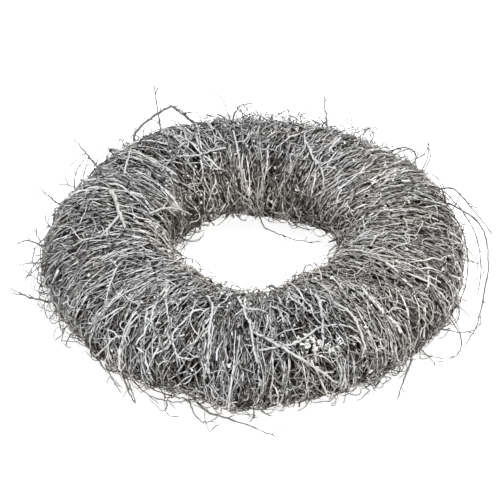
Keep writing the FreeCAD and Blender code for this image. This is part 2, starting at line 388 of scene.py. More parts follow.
def section_normal(tube):
    """Outward unit direction in the tube's section: its part along the radius and its part up."""
    along_radius = np.cos(tube) / TUBE_HALF_WIDTH_MM
    up = np.sin(tube) / TUBE_HALF_HEIGHT_MM
    size = np.hypot(along_radius, up)
    return along_radius / size, up / size


def outward_at(ring, tube):
    """Unit directions that point straight out of the tube."""
    along_radius, up = section_normal(tube)
    return np.stack([along_radius * np.cos(ring), along_radius * np.sin(ring), up], -1)


def wreath_points(ring, tube, height_mm):
    """Points in metres from ring angle, tube angle (radians) and height over the twig surface."""
    along_radius, up = section_normal(tube)
    radius = RING_RADIUS_MM + TUBE_HALF_WIDTH_MM * np.cos(tube) + along_radius * height_mm
    z = CENTRE_HEIGHT_MM + TUBE_HALF_HEIGHT_MM * np.sin(tube) + up * height_mm
    return np.stack([radius * np.cos(ring), radius * np.sin(ring), z], axis=-1) * MM


# ---- mesh building ---------------------------------------------------------------
# a texture strip is this many times longer than wide
STRIP_SLENDERNESS = 24.0
# places of the end caps on a strip, in shares of a station's length
CAP_LOW = 0.2
CAP_HIGH = 0.3
CAP_DEPTH = 0.2
# a direction that hardly any twig runs along
SIDE_HINT = (0.31, 0.52, 0.79)
TINY = 1e-12


def add_object(name, data):
    thing = bpy.data.objects.new(name, data)
    bpy.context.scene.collection.objects.link(thing)
    return thing


class TwigMesh:
    """Collects batches of tapering tubes and turns them into one mesh."""

    def __init__(self):
        self.batches = []

    def add(self, points, outward, radius_mm, tone, white, sides):
        """points and outward (twigs, stations, 3); radius and white (twigs, stations); tone (twigs)."""
        floor = (radius_mm + TABLE_CLEARANCE_MM) * MM
        points = points.copy()
        points[..., 2] = np.maximum(points[..., 2], floor)
        self.batches.append((points, outward, radius_mm * MM, tone, white, sides))

    def build(self, name, material):
        """The scene object with all batches, its texture map and the values for the shader."""
        strips = sum(len(batch[0]) for batch in self.batches)
        columns = max(1, int(math.ceil(math.sqrt(strips * STRIP_SLENDERNESS))))
        rows = int(math.ceil(strips / columns))
        verts, loops, starts, uvs = [], [], [], []
        marks = {"tone": [], "white": [], "facing": []}
        vertex_base = loop_base = strip_base = 0
        for points, outward, radius, tone, white, sides in self.batches:
            count, stations, _ = points.shape
            around = ring_directions(points, sides)
            rings = points[:, :, None, :] + around * radius[:, :, None, None]
            verts.append(rings.reshape(-1, 3))
            index = vertex_base + np.arange(count * stations * sides).reshape(count, stations, sides)
            quads, caps = tube_faces(index)
            loops += [quads.reshape(-1), caps.reshape(-1)]
            starts.append(loop_base + 4 * np.arange(quads.size // 4))
            loop_base += quads.size
            starts.append(loop_base + sides * np.arange(2 * count))
            loop_base += caps.size
            uvs.append(strip_uvs(count, stations, sides, strip_base, columns, rows))
            spread = np.ones((count, stations, sides))
            marks["tone"].append((tone[:, None, None] * spread).reshape(-1))
            marks["white"].append((white[:, :, None] * spread).reshape(-1))
            # how far each side of a twig faces outward, for the sprayed coat and the painted highlight
            # on its outer side
            marks["facing"].append((around * outward[:, :, None, :]).sum(-1).reshape(-1))
            vertex_base += count * stations * sides
            strip_base += count
        mesh = mesh_of_faces(name, *(np.concatenate(part) for part in (verts, loops, starts)))
        layer = mesh.uv_layers.new(name="OFBake")
        layer.data.foreach_set("uv", np.concatenate(uvs).reshape(-1).astype(np.float32))
        for label, values in marks.items():
            attribute = mesh.attributes.new(label, "FLOAT", "POINT")
            attribute.data.foreach_set("value", np.concatenate(values).astype(np.float32))
        mesh.materials.append(material)
        return add_object(name, mesh)


def tube_faces(index):
    """Side quads and end caps of tubes, from vertex numbers by twig, station and side."""
    near = index[:, :-1, :]
    far = index[:, 1:, :]
    quads = np.stack([near, np.roll(near, -1, 2), np.roll(far, -1, 2), far], axis=-1)
    caps = np.stack([index[:, 0, ::-1], index[:, -1, :]], axis=1)
    return quads, caps


def mesh_of_faces(name, verts, loops, starts):
    """A smooth mesh from vertex places, the vertex numbers round its faces and the faces' starts."""
    mesh = bpy.data.meshes.new(name)
    mesh.vertices.add(len(verts))
    mesh.vertices.foreach_set("co", verts.reshape(-1).astype(np.float32))
    mesh.loops.add(len(loops))
    mesh.loops.foreach_set("vertex_index", loops.astype(np.int32))
    mesh.polygons.add(len(starts))
    mesh.polygons.foreach_set("loop_start", starts.astype(np.int32))
    mesh.update(calc_edges=True)
    mesh.shade_smooth()
    return mesh


def ring_directions(points, sides):
    """Directions from each station to its ring of vertices, without twist along the twig."""
    tangent = np.gradient(points, axis=1)
    tangent /= np.linalg.norm(tangent, axis=-1, keepdims=True) + TINY
    side = np.cross(tangent[:, 0], np.array(SIDE_HINT))
    sides_out = np.empty_like(points)
    for station in range(points.shape[1]):
        ahead = tangent[:, station]
        side = side - (side * ahead).sum(-1, keepdims=True) * ahead
        side /= np.linalg.norm(side, axis=-1, keepdims=True) + TINY
        sides_out[:, station] = side
    other = np.cross(tangent, sides_out)
    turn = (2 * math.pi * np.arange(sides) / sides)[:, None]
    return sides_out[:, :, None] * np.cos(turn) + other[:, :, None] * np.sin(turn)


def strip_uvs(count, stations, sides, first_strip, columns, rows):
    """One narrow strip of the texture for each twig, side by side in rows, in the faces' order."""
    number = first_strip + np.arange(count)
    left = (number % columns) / columns
    low = (number // columns) / rows
    u = (np.arange(sides + 1) + 0.5) / (sides + 2) / columns
    v = (np.arange(stations) + 0.5) / (stations + 1) / rows
    quads = np.empty((count, stations - 1, sides, 4, 2))
    corners_u = np.stack([u[:-1], u[1:], u[1:], u[:-1]], -1)
    corners_v = np.stack([v[:-1], v[:-1], v[1:], v[1:]], -1)
    quads[..., 0] = left[:, None, None, None] + corners_u
    quads[..., 1] = low[:, None, None, None] + corners_v[:, None]
    caps = np.empty((count, 2, sides, 2))
    caps[:, 0, :, 0] = left[:, None] + u[:-1][::-1]
    caps[:, 1, :, 0] = left[:, None] + u[:-1]
    zigzag = CAP_DEPTH * (np.arange(sides) % 2) / (stations + 1) / rows
    caps[:, 0, :, 1] = low[:, None] + CAP_LOW / (stations + 1) / rows + zigzag
    caps[:, 1, :, 1] = low[:, None] + (stations + CAP_HIGH) / (stations + 1) / rows + zigzag
    return np.concatenate([quads.reshape(-1, 2), caps.reshape(-1, 2)])


# ---- twig paths ------------------------------------------------------------------
def waves(rng, count, stations, length_mm, shortest_mm, longest_mm):
    """A smooth random curve along each twig, about unit height."""
    waves_added = 3
    usual_height = 1.7
    along = np.linspace(0, 1, stations)[None, :] * length_mm[:, None]
    total = np.zeros((count, stations))
    for _ in range(waves_added):
        wavelength = rng.uniform(shortest_mm, longest_mm, (count, 1))
        phase = rng.uniform(0, 2 * math.pi, (count, 1))
        total += np.sin(2 * math.pi * along / wavelength + phase)
    return total / usual_height


def taper(rng, root_mm, tip_mm, stations):
    """Radius along each twig, with small swellings at its buds and a blunt point."""
    bud_size, bud_chance, unevenness, point = 0.35, 0.16, 0.08, 0.7
    t = np.linspace(0, 1, stations)[None, :]
    radius = root_mm[:, None] * (1 - t) + tip_mm[:, None] * t
    buds = rng.random(radius.shape) < bud_chance
    swell = 1 + bud_size * buds + rng.normal(0, unevenness, radius.shape)
    swell[:, 0] = 1
    swell[:, -1] = point
    return radius * swell


def whiteness(ring, tube, height_mm):
    """Whitewash reaches the outer twigs, less of it deeper in, partly as unpainted inner twigs and
    partly as painted shade in the hollows; painted shade in the opening, underneath and at the listed
    places, painted light where those have a heavier coat.

    It goes from 1 to 0, and on below 0 for ends that stand clear of the winding.
    """
    # the listed places add painted shade, or painted light where their value is below zero
    depth = np.clip(SURFACE_WHITE + height_mm / WHITE_DEPTH_MM, 0.0, 1.0) - bell(ring, tube, PAINTED_SHADE_AND_LIGHT)
    # painted shade: less whitewash on the twigs in the opening and underneath
    opening = OPENING_PAINTED_SHADE * np.clip(-np.cos(tube - OPENING_TILT), 0, 1) ** 2
    underside = UNDERSIDE_PAINTED_SHADE * np.clip(-np.sin(tube), 0, 1)
    stray = np.clip((height_mm - STRAY_FROM_MM) / STRAY_FADE_MM, 0, STRAY_LOSS_MOST)
    return np.clip(depth - opening - underside, 0.0, 1.0) - stray


def wandering(turn, length_mm):
    """Distances along and across the winding for twigs that head in the directions of turn."""
    stations = turn.shape[1]
    step = length_mm[:, None] / (stations - 1)
    along = np.cumsum(np.cos(turn) * step, axis=1)
    across = np.cumsum(np.sin(turn) * step, axis=1)
    half = stations // 2
    return along - along[:, half : half + 1], across - across[:, half : half + 1]


def lay_twigs(mesh, rng, ring, middle_mm, along_mm, across_mm, height_mm, root_mm, tip_mm, sides):
    """Lays twigs on the tube.  ring and middle are per twig, the other distances per station."""
    tube = tube_angle(middle_mm[:, None] + along_mm)
    angle = ring[:, None] + across_mm / (RING_RADIUS_MM + TUBE_HALF_WIDTH_MM * np.cos(tube))
    points = wreath_points(angle, tube, height_mm + bell(angle, tube, LUMPS))
    outward = outward_at(angle, tube)
    white = whiteness(angle, tube, height_mm)
    radius = taper(rng, root_mm, tip_mm, along_mm.shape[1])
    mesh.add(points, outward, radius, rng.random(len(ring)), white, sides)
    return points, outward, radius, white


def keep_thick(rng, ring, middle_mm):
    """False for the share of twigs that the thin places leave out."""
    chance = bell(ring, tube_angle(middle_mm), THIN_PLACES)
    return rng.random(len(ring)) >= chance


def spread_evenly(rng, middle_mm):
    """Keeps fewer twigs towards the opening, where there is less room for them."""
    reach = RING_RADIUS_MM + TUBE_HALF_WIDTH_MM * np.cos(tube_angle(middle_mm))
    return rng.random(len(middle_mm)) < reach / (RING_RADIUS_MM + TUBE_HALF_WIDTH_MM)


def add_shoots(mesh, rng, laid, count, shortest_mm, longest_mm):
    """Short side shoots that leave a twig at a slant, mostly within the winding's surface."""
    points, outward, radius, white = laid
    stations = 4
    tip_share = 0.6
    sides = 3
    twig = rng.integers(0, len(points), count)
    at = rng.integers(1, points.shape[1] - 2, count)
    start = points[twig, at]
    forward = points[twig, at + 1] - start
    forward /= np.linalg.norm(forward, axis=-1, keepdims=True)
    out = outward[twig, at]
    sideways = np.cross(forward, out)
    slant = rng.uniform(0.3, 1.25, count) * rng.choice([-1, 1], count)
    rise = rng.normal(0.08, 0.28, count)
    t = np.linspace(0, 1, stations)[None, :, None]
    reach = rng.uniform(shortest_mm, longest_mm, count)[:, None, None] * MM
    way = (
        forward[:, None, :] * np.cos(slant)[:, None, None]
        + sideways[:, None, :] * np.sin(slant)[:, None, None]
        + out[:, None, :] * rise[:, None, None]
    )
    bend = rng.normal(0, 0.22, (count, 1, 3))
    path = start[:, None, :] + reach * (t * way + t**2 * bend)
    root = radius[twig, at] * rng.uniform(0.45, 0.75, count)
    spread = np.repeat(out[:, None, :], stations, axis=1)
    pale = np.repeat(white[twig, at][:, None], stations, axis=1)
    thick = taper(rng, root, root * tip_share, stations)
    mesh.add(path, spread, thick, rng.random(count), pale, sides)


def either_way(rng, count):
    """Half a turn for about half of the twigs, so that their roots lie at either end."""
    return math.pi * rng.integers(0, 2, count)[:, None]


def root_radii(rng, usual_mm, spread, least_mm, most_mm, count):
    """Root radii round a usual one, with a few much thicker twigs."""
    return np.clip(rng.lognormal(math.log(usual_mm), spread, count), least_mm, most_mm)


def wound_twigs(mesh, rng, start_deg, span_deg, locks, per_lock, depth_low, depth_high, wander, sides):
    """Locks of twigs that run round the tube more or less side by side."""
    stations = 14
    lock_wave_length_mm = 90.0
    free_end = 0.45
    lock = np.repeat(np.arange(locks), per_lock)
    lock_ring = np.radians(start_deg + span_deg * rng.random(locks))
    lock_middle = rng.uniform(0, TUBE_GIRTH_MM, locks)
    lock_lean = rng.normal(0, 0.13, locks)
    lock_depth = rng.uniform(depth_low, depth_high, locks)
    count = locks * per_lock
    ring = lock_ring[lock] + rng.normal(0, 5.0, count) / RING_RADIUS_MM
    middle = lock_middle[lock] + rng.normal(0, 30, count)
    if depth_high > THIN_PLACES_DOWN_TO_MM:
        kept = keep_thick(rng, ring, middle)
        lock, ring, middle = lock[kept], ring[kept], middle[kept]
        count = len(lock)
    length = rng.uniform(38, 140, count)
    lock_turn = waves(rng, locks, stations, np.full(locks, lock_wave_length_mm), 70, 220)[lock] * 0.10
    own_turn = waves(rng, count, stations, length, 18, 90) * 0.17 * wander
    turn = (lock_lean[lock] + rng.normal(0, 0.12 * wander, count))[:, None] + lock_turn + own_turn
    turn = turn + rng.normal(0, 0.09, (count, stations)) + either_way(rng, count)
    along, across = wandering(turn, length)
    height = (lock_depth[lock] + rng.normal(0, 1.2, count))[:, None]
    height = height + waves(rng, count, stations, length, 24, 110) * 1.1 * wander
    height = height + rng.normal(0, 0.3, (count, stations))
    from_middle = np.abs(np.linspace(-1, 1, stations))
    ends = np.clip((from_middle - (1 - free_end)) / free_end, 0, 1)[None, :]
    lift = rng.exponential(1.6, count)[:, None] * ends**2
    height = np.clip(height, WINDING_LOW_MM, WINDING_HIGH_MM) + lift
    root = root_radii(rng, 0.60, 0.40, 0.32, 1.9, count)
    laid = lay_twigs(mesh, rng, ring, middle, along, across, height, root, root * WOUND_TIP, sides)
    add_shoots(mesh, rng, laid, int(count * 1.7), 4, 15)


def crossing_twigs(mesh, rng, start_deg, span_deg, count):
    """Single crooked twigs that lie across the winding at any slant."""
    stations = 11
    sides = 5
    ring = np.radians(start_deg + span_deg * rng.random(count))
    middle = rng.uniform(0, TUBE_GIRTH_MM, count)
    kept = keep_thick(rng, ring, middle) & spread_evenly(rng, middle)
    ring, middle = ring[kept], middle[kept]
    count = len(ring)
    length = rng.uniform(16, 75, count)
    turn = rng.normal(0, 0.62, count)[:, None] + waves(rng, count, stations, length, 18, 80) * 0.42
    turn = turn + rng.normal(0, 0.12, (count, stations)) + either_way(rng, count)
    along, across = wandering(turn, length)
    height = rng.uniform(-7, -1.2, count)[:, None] + waves(rng, count, stations, length, 22, 80) * 1.3
    root = root_radii(rng, 0.52, 0.38, 0.3, 1.4, count)
    laid = lay_twigs(mesh, rng, ring, middle, along, across, height, root, root * WOUND_TIP, sides)
    add_shoots(mesh, rng, laid, count, 3, 11)


def fuzz_twigs(mesh, rng, start_deg, span_deg, count, tube_range_deg, length_range_mm, rise_mm, swing):
    """Fine ends that curl out of the winding."""
    ring = np.radians(start_deg + span_deg * rng.random(count))
    middle = rng.uniform(girth_at(tube_range_deg[0]), girth_at(tube_range_deg[1]), count)
    kept = spread_evenly(rng, middle)
    length = rng.uniform(*length_range_mm, count)
    lay_fuzz(mesh, rng, ring[kept], middle[kept], length[kept], rise_mm, swing)


def tangle(mesh, rng, ring_deg, tube_deg, spread_mm, count, rise_mm):
    """A knot of curly ends in one place, wider along the ring than round the tube."""
    girth_share = 0.45
    swing = 1.3
    reach = RING_RADIUS_MM + TUBE_HALF_WIDTH_MM * math.cos(math.radians(tube_deg))
    ring = math.radians(ring_deg) + rng.normal(0, spread_mm, count) / reach
    middle = girth_at(tube_deg) + rng.normal(0, girth_share * spread_mm, count)
    lay_fuzz(mesh, rng, ring, middle, rng.uniform(14, 42, count), rise_mm, swing)


def lay_fuzz(mesh, rng, ring, middle, length, rise_mm, swing):
    """Lays ends that head any way, arch up by about the rise and waver more towards their tips."""
    stations = 11
    sides = 4
    most_rise = 3.0
    count = len(ring)
    turn = rng.uniform(-math.pi, math.pi, count)[:, None]
    turn = turn + waves(rng, count, stations, length, 16, 55) * swing
    turn = turn + rng.normal(0, 0.1, (count, stations))
    along, across = wandering(turn, length)
    t = np.linspace(0, 1, stations)[None, :]
    rise = np.minimum(rng.exponential(rise_mm, count), most_rise * rise_mm)[:, None]
    arch = np.sin(math.pi * t * rng.uniform(0.35, 0.95, count)[:, None])
    height = rng.uniform(-6, -2, count)[:, None] + rise * arch
    height = height + waves(rng, count, stations, length, 14, 50) * 1.8 * t
    root = rng.uniform(0.34, 0.60, count)
    laid = lay_twigs(mesh, rng, ring, middle, along, across, height, root, root * FUZZ_TIP, sides)
    add_shoots(mesh, rng, laid, count // 2, 2, 7)


def smooth_path(stations, samples):
    """A rounded curve through wreath stations (Catmull-Rom), as ring, tube and height."""
    knots = np.array(stations, float)
    knots[:, 0] = np.degrees(np.unwrap(np.radians(knots[:, 0])))
    ends = np.vstack([2 * knots[0] - knots[1], knots, 2 * knots[-1] - knots[-2]])
    where = np.linspace(0, len(knots) - 1 - 1e-6, samples)
    piece = where.astype(int)
    f = (where - piece)[:, None]
    a, b, c, d = (ends[piece + k] for k in range(4))
    square = 2 * a - 5 * b + 4 * c - d
    cube = 3 * b - a - 3 * c + d
    return 0.5 * (2 * b + (c - a) * f + square * f**2 + cube * f**3)


def sprung_stations(ring_deg, tube_deg, sweep_deg, drop_deg, rise_mm, bow_mm):
    """Stations along one bowed end, from its root just inside the winding to its free tip."""
    stations = []
    for t in np.linspace(0, 1, SPRUNG_STATIONS):
        height = rise_mm * t - SPRUNG_ROOT_DEPTH_MM * (1 - t) + 4 * bow_mm * t * (1 - t)
        stations.append((ring_deg + sweep_deg * t, tube_deg + drop_deg * t, height))
    return stations


def twig_through(mesh, rng, root, tip, stations, tone, white_low, on_winding):
    """One twig through wreath stations, with a few side shoots.  Its whitewash thins with height."""
    samples = 6 * len(stations)
    sides = 8
    path = smooth_path(stations, samples)
    ring = np.radians(path[:, 0])
    tube = np.radians(path[:, 1])
    height = path[:, 2] + (bell(ring, tube, LUMPS) if on_winding else 0.0)
    points = wreath_points(ring, tube, height) + rng.normal(0, 0.3 * MM, (samples, 3))
    outward = outward_at(ring, tube)
    radius = taper(rng, np.array([root]), np.array([tip]), samples)
    white = np.clip(white_low - path[None, :, 2] / SINGLE_FADE_MM, SINGLE_WHITE_LEAST, 1.0)
    mesh.add(points[None], outward[None], radius, np.array([tone]), white, sides)
    for _ in range(rng.integers(2, 5)):
        at = rng.integers(samples // 3, samples - 2)
        forward = points[at + 1] - points[at - 1]
        here = slice(at, at + 1)
        side_shoot(mesh, rng, points[at], forward, outward[here], radius[0, here], tone, white[:, here])


def side_shoot(mesh, rng, start, forward, outward, radius, tone, white):
    """One short shoot that leaves a single twig at a slant, in any direction round it."""
    stations = 6
    sides = 5
    forward = forward / np.linalg.norm(forward)
    away = np.cross(forward, rng.normal(0, 1, 3))
    away /= np.linalg.norm(away)
    t = np.linspace(0, 1, stations)[:, None]
    reach = rng.uniform(5, 13) * MM
    shoot = start + reach * (t * forward * 0.7 + t**0.8 * away * 0.6)
    shoot = shoot + rng.normal(0, 0.15 * MM, shoot.shape)
    thick = taper(rng, radius * 0.75, radius * 0.5, stations)
    facing = np.repeat(outward[None], stations, axis=1)
    mesh.add(shoot[None], facing, thick, np.array([tone]), np.repeat(white, stations, axis=1), sides)


def paint_crumbs(mesh, rng, start_deg, span_deg, count):
    """Small clots of whitewash caught between twigs."""
    ring = np.radians(start_deg + span_deg * rng.random(count))
    middle = rng.uniform(0, TUBE_GIRTH_MM, count)
    lay_crumbs(mesh, rng, ring, middle, rng.uniform(1.2, 3.4, count))


def crumb_cluster(mesh, rng, ring_deg, tube_deg, spread_mm, count):
    """A splash of larger whitewash clots in one place."""
    ring = math.radians(ring_deg) + rng.normal(0, spread_mm, count) / RING_RADIUS_MM
    middle = girth_at(tube_deg) + rng.normal(0, spread_mm, count)
    lay_crumbs(mesh, rng, ring, middle, rng.uniform(1.6, 4.4, count))


def lay_crumbs(mesh, rng, ring, middle, size):
    """Lays clots as short fat lumps along the girth, each fully whitewashed."""
    profile = np.array([[0.35, 1.0, 0.85, 0.3]])
    fatness = 0.38
    sides = 6
    stations = profile.shape[1]
    count = len(ring)
    lateral = rng.normal(0, 0.9, (count, stations))
    height = rng.uniform(-6, 0.5, count)[:, None] + rng.normal(0, 0.7, (count, stations))
    t = np.linspace(-0.5, 0.5, stations)[None, :]
    tube = tube_angle(middle[:, None] + t * size[:, None])
    angle = ring[:, None] + lateral / RING_RADIUS_MM
    points = wreath_points(angle, tube, height + bell(angle, tube, LUMPS))
    radius = fatness * size[:, None] * profile
    radius = radius * rng.uniform(0.6, 1.3, (count, stations))
    white = np.full(lateral.shape, CRUMB_WHITE)
    mesh.add(points, outward_at(angle, tube), radius, np.ones(count), white, sides)


# ---- materials -------------------------------------------------------------------
class Nodes:
    """Small helper that adds and links shader nodes."""

    def __init__(self, name):
        self.material = bpy.data.materials.new(name)
        self.material.use_nodes = True
        self.tree = self.material.node_tree
        self.shader = self.tree.nodes["Principled BSDF"]

    def add(self, kind, **settings):
        node = self.tree.nodes.new(kind)
        for key, value in settings.items():
            setattr(node, key, value)
        return node

    def link(self, source, target):
        self.tree.links.new(source, target)

    def attribute(self, name):
        return self.add("ShaderNodeAttribute", attribute_name=name).outputs["Fac"]

    def noise(self, scale, detail, place):
        node = self.add("ShaderNodeTexNoise")
        node.inputs["Scale"].default_value = scale
        node.inputs["Detail"].default_value = detail
        self.link(place, node.inputs["Vector"])
        return node.outputs["Fac"]

    def math(self, operation, first, second, clamp=False):
        node = self.add("ShaderNodeMath", operation=operation, use_clamp=clamp)
        for socket, value in zip(node.inputs, (first, second)):
            if isinstance(value, (int, float)):
                socket.default_value = value
            else:
                self.link(value, socket)
        return node.outputs[0]

    def plus(self, total, value, weight):
        """The total with a weighted value added to it."""
        return self.math("ADD", total, self.math("MULTIPLY", value, weight))

    def centred(self, value):
        """A value from 0 to 1 moved to lie round 0."""
        return self.math("SUBTRACT", value, 0.5)

    def mix(self, factor, first, second, blend="MIX"):
        """A mix of two colours.  The node's colour sockets are inputs 6 and 7 and output 2."""
        node = self.add("ShaderNodeMix", data_type="RGBA", blend_type=blend)
        for number, value in ((0, factor), (6, first), (7, second)):
            if isinstance(value, (int, float, tuple)):
                node.inputs[number].default_value = value
            else:
                self.link(value, node.inputs[number])
        return node.outputs[2]

    def stain(self, place, broad):
        """Brown stain low on the wreath, in the opening and to the right, from 0 to 1."""
        axes = self.add("ShaderNodeSeparateXYZ")
        self.link(place, axes.inputs[0])
        flat = self.add("ShaderNodeVectorMath", operation="MULTIPLY")
        flat.inputs[1].default_value = (1, 1, 0)
        self.link(place, flat.inputs[0])
        reach = self.add("ShaderNodeVectorMath", operation="LENGTH")
        self.link(flat.outputs[0], reach.inputs[0])
        low = self.fade(axes.outputs["Z"], STAIN_TOP_MM, STAIN_LOW_MM)
        inner = self.fade(reach.outputs["Value"], STAIN_OUTER_MM, STAIN_INNER_MM)
        right = self.fade(axes.outputs["X"], 0.0, STAIN_RIGHT_MM)
        right = self.math("MULTIPLY", right, STAIN_RIGHT_MOST)
        most = self.math("MAXIMUM", self.math("MAXIMUM", low, inner), right)
        uneven = self.math("MULTIPLY", self.centred(broad), STAIN_UNEVEN)
        return self.math("ADD", most, uneven, clamp=True)

    def fade(self, value, none_mm, full_mm):
        """From 0 where a length has its first value to 1 where it has its second."""
        node = self.add("ShaderNodeMapRange")
        self.link(value, node.inputs["Value"])
        node.inputs["From Min"].default_value = none_mm * MM
        node.inputs["From Max"].default_value = full_mm * MM
        return node.outputs["Result"]

    def bump(self, height, strength, distance):
        node = self.add("ShaderNodeBump")
        node.inputs["Strength"].default_value = strength
        node.inputs["Distance"].default_value = distance
        self.link(height, node.inputs["Height"])
        self.link(node.outputs["Normal"], self.shader.inputs["Normal"])


def twig_material(name, extra_cover):
    """Brown bark, grey on stray ends, under uneven whitewash that is thickest on the outward and upper
    sides, partly as a sprayed coat and partly as a painted highlight with painted shade on the flanks.
    """
    nodes = Nodes(name)
    place = nodes.add("ShaderNodeTexCoord").outputs["Object"]
    normal = nodes.add("ShaderNodeSeparateXYZ")
    nodes.link(nodes.add("ShaderNodeNewGeometry").outputs["Normal"], normal.inputs[0])
    patches = nodes.noise(*PATCHES, place)
    broad = nodes.noise(*BROAD, place)
    fine = nodes.noise(*FINE, place)
    tone = nodes.attribute("tone")
    white = nodes.attribute("white")
    facing = nodes.attribute("facing")
    coat_and_painted_light = nodes.math("ADD", nodes.math("MULTIPLY", white, COVER_BY_WHITE), COVER_BASE)
    # facing outward and up: partly a sprayed coat, partly a painted highlight with painted shade on
    # each twig's flanks
    coat_and_painted_light = nodes.plus(coat_and_painted_light, facing, COVER_AND_HIGHLIGHT_BY_FACING)
    coat_and_painted_light = nodes.plus(coat_and_painted_light, normal.outputs["Z"], COVER_AND_HIGHLIGHT_BY_UP)
    coat_and_painted_light = nodes.plus(coat_and_painted_light, nodes.centred(patches), COVER_BY_PATCHES)
    coat_and_painted_light = nodes.plus(coat_and_painted_light, nodes.centred(tone), COVER_BY_TONE)
    coat_and_painted_light = nodes.plus(coat_and_painted_light, nodes.centred(broad), COVER_BY_BROAD)
    coat_and_painted_light = nodes.math("ADD", coat_and_painted_light, extra_cover, clamp=True)
    grey = nodes.math("MULTIPLY", white, GREY_BY_WHITE, clamp=True)
    stray = nodes.mix(tone, STRAY_DARK, STRAY_LIGHT)
    bark = nodes.mix(grey, nodes.mix(fine, BARK_DARK, BARK_LIGHT), stray)
    paint = nodes.mix(tone, PAINT_SHADE, PAINT_COLOUR)
    colour = nodes.mix(nodes.stain(place, broad), nodes.mix(coat_and_painted_light, bark, paint), STAIN, "MULTIPLY")
    nodes.link(colour, nodes.shader.inputs["Base Color"])
    rough = nodes.plus(TWIG_ROUGHNESS, fine, TWIG_ROUGHNESS_SPREAD)
    nodes.link(rough, nodes.shader.inputs["Roughness"])
    nodes.shader.inputs["Specular IOR Level"].default_value = TWIG_SPECULAR
    nodes.bump(nodes.math("ADD", fine, patches), strength=0.45, distance=0.4 * MM)
    return nodes.material


def wire_material(name, colour_light, colour_dark, metallic, roughness):
    """Drawn steel wire with a spangled, slightly dull zinc or oxide skin."""
    nodes = Nodes(name)
    place = nodes.add("ShaderNodeTexCoord").outputs["Object"]
    spangle = nodes.noise(*SPANGLE, place)
    scratch = nodes.noise(*SCRATCHES, place)
    nodes.link(nodes.mix(spangle, colour_light, colour_dark), nodes.shader.inputs["Base Color"])
    nodes.link(nodes.plus(roughness, scratch, WIRE_ROUGHNESS_SPREAD), nodes.shader.inputs["Roughness"])
    nodes.shader.inputs["Metallic"].default_value = metallic
    nodes.bump(scratch, strength=0.2, distance=0.1 * MM)
    return nodes.material


def table_material(name):
    """Pale backlit table: a matt white sheet that glows a little."""
    nodes = Nodes(name)
    place = nodes.add("ShaderNodeTexCoord").outputs["Object"]
    grain = nodes.noise(*TABLE_GRAIN, place)
    nodes.link(nodes.mix(grain, TABLE_DARK, TABLE_LIGHT), nodes.shader.inputs["Base Color"])
    nodes.shader.inputs["Roughness"].default_value = 0.9
    nodes.shader.inputs["Emission Color"].default_value = (1, 1, 1, 1)
    nodes.shader.inputs["Emission Strength"].default_value = TABLE_GLOW
    return nodes.material


# ---- pieces ----------------------------------------------------------------------
def finish_piece(piece, node):
    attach(piece, "root")
    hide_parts(node)


def wrap_of(ring_deg):
    """Index of the wrap bundle that covers a ring angle."""
    span = 360.0 / WRAP_BUNDLES
    return int((ring_deg + span / 2) % 360 // span)


def build_wraps(material):
    """The outer bundles.  What has a place of its own goes to the bundle that covers its root."""
    span = 360.0 / WRAP_BUNDLES
    for index in range(WRAP_BUNDLES):
        rng = np.random.default_rng([SEED, index])
        mesh = TwigMesh()
        start = (index - 0.5) * span
        for layer in WOUND_LAYERS:
            wound_twigs(mesh, rng, start, span, *layer)
        crossing_twigs(mesh, rng, start, span, CROSSING_TWIGS)
        for layer in FUZZ_LAYERS:
            fuzz_twigs(mesh, rng, start, span, *layer)
        for place in TANGLES:
            if wrap_of(place[0]) == index:
                tangle(mesh, rng, *place)
        for root, stations in MARKED_TWIGS:
            if wrap_of(stations[0][0]) == index:
                tip = root * MARKED_TIP
                twig_through(mesh, rng, root, tip, stations, MARKED_TONE, SNUG_WHITE, True)
        paint_crumbs(mesh, rng, start, span, CRUMBS)
        for place in CLOTS:
            if wrap_of(place[0]) == index:
                crumb_cluster(mesh, rng, *place)
        for root, *course in SPRUNG_ENDS:
            if wrap_of(course[0]) == index:
                stations = sprung_stations(*course)
                tip = root * SPRUNG_TIP
                twig_through(mesh, rng, root, tip, stations, SPRUNG_TONE, STRAY_WHITE, False)
        piece = mesh.build("twigs_wrap_%02d" % (index + 1), material)
        finish_piece(piece, "wrap_bundle_%02d" % (index + 1))


def core_sticks(mesh, rng, middle_deg, span_deg, inset_mm):
    """One layer of sticks laid along the ring, side by side round the core's section."""
    sticks = 56
    stations = 9
    sides = 6
    around = 2 * math.pi * (np.arange(sticks) + rng.uniform(-0.3, 0.3, sticks)) / sticks
    side, up = np.cos(around), np.sin(around)
    flat = CORE_HALF_WIDTH_MM - CORE_HALF_HEIGHT_MM
    half_height = CORE_HALF_HEIGHT_MM - inset_mm
    across = flat * np.sign(side) * np.abs(side) ** 0.7 + half_height * side
    t = np.linspace(-0.5, 0.5, stations)[None, :]
    sweep = np.radians(span_deg * rng.uniform(0.95, 1.12, sticks))[:, None]
    ring = np.radians(middle_deg + rng.uniform(-2, 2, sticks))[:, None] + t * sweep
    shape = (sticks, stations)
    radius = RING_RADIUS_MM + across[:, None] + rng.normal(0, 0.5, shape)
    z = CENTRE_HEIGHT_MM + (half_height * up)[:, None] + rng.normal(0, 0.5, shape)
    points = np.stack([radius * np.cos(ring), radius * np.sin(ring), z], axis=-1) * MM
    root = rng.uniform(1.7, 2.6, sticks)
    tone = rng.random(sticks)
    level = side[:, None]
    outward = np.stack([np.cos(ring) * level, np.sin(ring) * level, up[:, None] * np.ones(shape)], -1)
    thick = taper(rng, root, root * 0.85, stations)
    mesh.add(points, outward, thick, tone, np.zeros(shape), sides)


